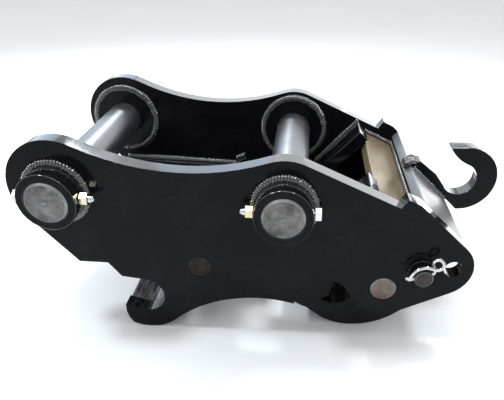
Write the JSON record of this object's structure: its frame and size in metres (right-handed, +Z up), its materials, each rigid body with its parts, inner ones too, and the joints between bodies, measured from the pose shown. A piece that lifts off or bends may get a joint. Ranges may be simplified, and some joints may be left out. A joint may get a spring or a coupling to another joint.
{
  "type": "quick coupler",
  "caption": "Pin-grabber quick coupler for a small excavator: welded side plates, fixed front hook, hydraulic rear claw, mounting pins, lock pin and lifting hook.",
  "frame": {"origin": "on the ground under the middle of the coupler's bounding box", "axes": "+X from the dipper-pin end to the rear nose, +Y across the coupler along its pins, +Z up"},
  "size_m": [0.5346, 0.306, 0.2332],
  "materials": {
    "black_paint": "gloss black enamel",
    "pin_steel": "turned and ground steel",
    "yellow_zinc": "yellow passivated zinc",
    "bright_zinc": "bright zinc plate",
    "hard_chrome": "polished hard chrome"
  },
  "bodies": {
    "frame": {"back_plate": "black_paint", "base_pin_spacer_left": "pin_steel", "base_pin_spacer_right": "pin_steel", "box_gusset_left": "black_paint", "box_gusset_right": "black_paint", "cap_plate": "black_paint", "claw_pivot_pin": "pin_steel", "claw_thrust_washer_left": "pin_steel", "claw_thrust_washer_right": "pin_steel", "cylinder_base_pin": "pin_steel", "deck_plate": "black_paint", "dipper_collar_left": "black_paint", "dipper_collar_right": "black_paint", "dipper_grease_adapter": "yellow_zinc", "dipper_grease_nipple": "bright_zinc", "dipper_inner_ring_left": "black_paint", "dipper_inner_ring_right": "black_paint", "dipper_keeper_bolt_left": "bright_zinc", "dipper_keeper_bolt_right": "bright_zinc", "dipper_pin": "pin_steel", "front_hook_seat": "black_paint", "lifting_hook": "black_paint", "link_collar_left": "black_paint", "link_collar_right": "black_paint", "link_grease_adapter": "yellow_zinc", "link_grease_nipple": "bright_zinc", "link_inner_ring_left": "black_paint", "link_inner_ring_right": "black_paint", "link_keeper_bolt_left": "bright_zinc", "link_keeper_bolt_right": "bright_zinc", "link_pin": "pin_steel", "lock_pin_washer": "pin_steel", "side_plate_left": "black_paint", "side_plate_right": "black_paint"},
    "claw": {"claw_cheek_left": "black_paint", "claw_cheek_right": "black_paint", "claw_hub_tube": "black_paint", "claw_lever_left": "black_paint", "claw_lever_right": "black_paint", "claw_lip_bar": "black_paint"},
    "cylinder": {"check_valve_block": "pin_steel", "cylinder_barrel": "black_paint", "cylinder_gland": "pin_steel", "port_fitting_base": "bright_zinc", "port_fitting_rod": "bright_zinc"},
    "rod": {"piston": "pin_steel", "piston_rod": "hard_chrome", "rod_eye": "pin_steel", "rod_pin": "pin_steel", "rod_pin_washer_left": "bright_zinc", "rod_pin_washer_right": "bright_zinc"},
    "lock": {"hairpin_clip": "bright_zinc", "lock_pin": "pin_steel"}
  },
  "joints": [
    {"name": "claw_swing", "type": "hinge", "parent": "frame", "child": "claw", "pos_m": [0.13025, 0, 0.0723], "axis": [0, -1, 0], "range_deg": [0, 50]},
    {"name": "cylinder_swing", "type": "hinge", "parent": "frame", "child": "cylinder", "pos_m": [-0.07485, 0, 0.0911], "axis": [0, -1, 0], "range_deg": [0, 1.5]},
    {"name": "rod_retract", "type": "slide", "parent": "cylinder", "child": "rod", "axis": [-0.991, 0, -0.1337], "range_m": [0, 0.045]},
    {"name": "lock_pin_turn", "type": "hinge", "parent": "frame", "child": "lock", "pos_m": [0.16815, 0, 0.0986], "axis": [0, -1, 0], "continuous": true}
  ],
  "couplings": [
    {"joint": "cylinder_swing", "follows": "claw_swing", "ratio": 0.025},
    {"joint": "rod_retract", "follows": "claw_swing", "m_per_rad": 0.0503}
  ]
}
